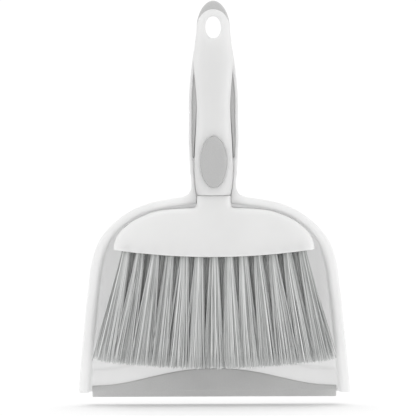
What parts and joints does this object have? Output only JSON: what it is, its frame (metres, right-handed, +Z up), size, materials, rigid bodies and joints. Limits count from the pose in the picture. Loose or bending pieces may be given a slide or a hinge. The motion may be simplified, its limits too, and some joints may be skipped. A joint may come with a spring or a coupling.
{
  "type": "dust pan and brush set",
  "caption": "Hand brush with fanned bristles that snaps into the hollow handle and tray of a small dust pan with a soft rubber lip and a hanging hole.",
  "frame": {"origin": "middle of the hanging hole, in the rounded end of the pan's handle", "axes": "+Z up the handles to the hanging end, -Y out of the open side of the tray, +Y out of its flat underside, +X to the right seen from the open side"},
  "size_m": [0.2232, 0.0521, 0.3268],
  "materials": {
    "white_plastic": "satin",
    "grey_rubber": "matte",
    "bristle": "satin"
  },
  "bodies": {
    "dustpan": {"pan_shell": "white_plastic", "pan_lip": "grey_rubber", "pan_handle_liner": "grey_rubber"},
    "brush": {"brush_handle": "white_plastic", "brush_thumb_pad": "grey_rubber", "brush_head": "white_plastic", "tuft_front_01": "bristle", "tuft_front_02": "bristle", "tuft_front_03": "bristle", "tuft_front_04": "bristle", "tuft_front_05": "bristle", "tuft_front_06": "bristle", "tuft_front_07": "bristle", "tuft_front_08": "bristle", "tuft_front_09": "bristle", "tuft_front_10": "bristle", "tuft_front_11": "bristle", "tuft_front_12": "bristle", "tuft_front_13": "bristle", "tuft_middle_01": "bristle", "tuft_middle_02": "bristle", "tuft_middle_03": "bristle", "tuft_middle_04": "bristle", "tuft_middle_05": "bristle", "tuft_middle_06": "bristle", "tuft_middle_07": "bristle", "tuft_middle_08": "bristle", "tuft_middle_09": "bristle", "tuft_middle_10": "bristle", "tuft_middle_11": "bristle", "tuft_middle_12": "bristle", "tuft_rear_01": "bristle", "tuft_rear_02": "bristle", "tuft_rear_03": "bristle", "tuft_rear_04": "bristle", "tuft_rear_05": "bristle", "tuft_rear_06": "bristle", "tuft_rear_07": "bristle", "tuft_rear_08": "bristle", "tuft_rear_09": "bristle", "tuft_rear_10": "bristle", "tuft_rear_11": "bristle", "tuft_rear_12": "bristle", "tuft_rear_13": "bristle"}
  },
  "joints": [
    {"name": "brush_release", "type": "slide", "parent": "dustpan", "child": "brush", "axis": [0, -1, 0], "range_m": [0, 0.08]}
  ]
}
